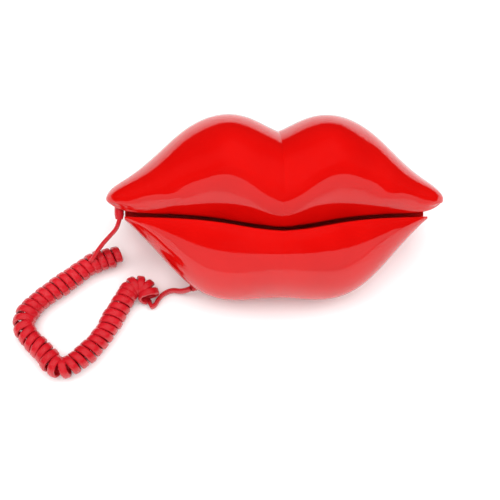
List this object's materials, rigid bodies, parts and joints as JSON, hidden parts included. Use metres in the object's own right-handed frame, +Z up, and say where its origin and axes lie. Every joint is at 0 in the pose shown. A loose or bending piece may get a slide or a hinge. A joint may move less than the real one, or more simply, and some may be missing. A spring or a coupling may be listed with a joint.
{
  "type": "novelty shaped telephone",
  "caption": "Lips-shaped corded desk telephone: upper-lip handset on a sloped bed, lower-lip base, keypad under the handset and a curly cord on the desk.",
  "frame": {"origin": "middle of the telephone's footprint at desk level, measured without the cord", "axes": "+X along the lips to the right, +Y to the back, +Z up; the lips' face slopes 28 degrees towards -Y"},
  "size_m": [0.2793, 0.1586, 0.0925],
  "materials": {
    "red_shell": "polished red ABS, mirror-like gloss",
    "red_plate": "satin red ABS",
    "dark_cover": "finely textured black ABS",
    "rubber": "matt black rubber",
    "steel": "bright zinc-plated steel",
    "ballast": "mill-finish steel weight",
    "board": "green circuit board",
    "black_part": "moulded black component body",
    "white_part": "natural white acetal",
    "jack": "black socket moulding",
    "contacts": "gold-flashed contact wire",
    "mat": "grey silicone mat",
    "key": "off-white key with a soft gloss",
    "cord": "semi-gloss red PVC"
  },
  "bodies": {
    "base": {"base_shell": "red_shell", "bottom_cover": "dark_cover", "rubber_feet": "rubber", "cover_screws": "steel", "ballast_plate": "ballast", "main_board": "board", "ringer": "black_part", "hook_guide": "dark_cover", "hook_spring": "steel", "hook_switch": "black_part", "line_jack": "jack", "jack_contacts": "contacts", "ringer_switch": "black_part", "base_relief": "cord", "base_tail": "cord", "curly_cord": "cord", "curly_cord_end": "cord", "handset_tail": "cord"},
    "handset": {"handset_shell": "red_shell", "handset_plate": "red_plate", "handset_screws": "steel", "keypad_mat": "mat", "handset_board": "board", "earpiece": "black_part", "microphone": "black_part", "handset_weight": "ballast", "handset_relief": "cord"},
    "hook_plunger": {"hook_plunger": "white_part"},
    "ringer_slider": {"ringer_slider": "white_part"},
    "key_1": {"key_1": "key"},
    "key_2": {"key_2": "key"},
    "key_3": {"key_3": "key"},
    "key_4": {"key_4": "key"},
    "key_5": {"key_5": "key"},
    "key_6": {"key_6": "key"},
    "key_7": {"key_7": "key"},
    "key_8": {"key_8": "key"},
    "key_9": {"key_9": "key"},
    "key_star": {"key_star": "key"},
    "key_0": {"key_0": "key"},
    "key_hash": {"key_hash": "key"},
    "key_redial": {"key_redial": "key"},
    "key_flash": {"key_flash": "key"},
    "key_mute": {"key_mute": "key"}
  },
  "joints": [
    {"name": "handset_lift", "type": "slide", "parent": "base", "child": "handset", "axis": [0, -0.4695, 0.8829], "range_m": [0, 0.08]},
    {"name": "hook_plunger_rise", "type": "slide", "parent": "base", "child": "hook_plunger", "axis": [0, -0.4695, 0.8829], "range_m": [0, 0.004]},
    {"name": "ringer_slider_slide", "type": "slide", "parent": "base", "child": "ringer_slider", "axis": [1, 0, 0], "range_m": [0, 0.006]},
    {"name": "key_1_press", "type": "slide", "parent": "handset", "child": "key_1", "axis": [0, -0.4695, 0.8829], "range_m": [0, 0.001], "stiffness_N_per_m": 300},
    {"name": "key_2_press", "type": "slide", "parent": "handset", "child": "key_2", "axis": [0, -0.4695, 0.8829], "range_m": [0, 0.001], "stiffness_N_per_m": 300},
    {"name": "key_3_press", "type": "slide", "parent": "handset", "child": "key_3", "axis": [0, -0.4695, 0.8829], "range_m": [0, 0.001], "stiffness_N_per_m": 300},
    {"name": "key_4_press", "type": "slide", "parent": "handset", "child": "key_4", "axis": [0, -0.4695, 0.8829], "range_m": [0, 0.001], "stiffness_N_per_m": 300},
    {"name": "key_5_press", "type": "slide", "parent": "handset", "child": "key_5", "axis": [0, -0.4695, 0.8829], "range_m": [0, 0.001], "stiffness_N_per_m": 300},
    {"name": "key_6_press", "type": "slide", "parent": "handset", "child": "key_6", "axis": [0, -0.4695, 0.8829], "range_m": [0, 0.001], "stiffness_N_per_m": 300},
    {"name": "key_7_press", "type": "slide", "parent": "handset", "child": "key_7", "axis": [0, -0.4695, 0.8829], "range_m": [0, 0.001], "stiffness_N_per_m": 300},
    {"name": "key_8_press", "type": "slide", "parent": "handset", "child": "key_8", "axis": [0, -0.4695, 0.8829], "range_m": [0, 0.001], "stiffness_N_per_m": 300},
    {"name": "key_9_press", "type": "slide", "parent": "handset", "child": "key_9", "axis": [0, -0.4695, 0.8829], "range_m": [0, 0.001], "stiffness_N_per_m": 300},
    {"name": "key_star_press", "type": "slide", "parent": "handset", "child": "key_star", "axis": [0, -0.4695, 0.8829], "range_m": [0, 0.001], "stiffness_N_per_m": 300},
    {"name": "key_0_press", "type": "slide", "parent": "handset", "child": "key_0", "axis": [0, -0.4695, 0.8829], "range_m": [0, 0.001], "stiffness_N_per_m": 300},
    {"name": "key_hash_press", "type": "slide", "parent": "handset", "child": "key_hash", "axis": [0, -0.4695, 0.8829], "range_m": [0, 0.001], "stiffness_N_per_m": 300},
    {"name": "key_redial_press", "type": "slide", "parent": "handset", "child": "key_redial", "axis": [0, -0.4695, 0.8829], "range_m": [0, 0.001], "stiffness_N_per_m": 300},
    {"name": "key_flash_press", "type": "slide", "parent": "handset", "child": "key_flash", "axis": [0, -0.4695, 0.8829], "range_m": [0, 0.001], "stiffness_N_per_m": 300},
    {"name": "key_mute_press", "type": "slide", "parent": "handset", "child": "key_mute", "axis": [0, -0.4695, 0.8829], "range_m": [0, 0.001], "stiffness_N_per_m": 300}
  ],
  "couplings": [
    {"joint": "hook_plunger_rise", "follows": "handset_lift", "ratio": 0.05}
  ]
}
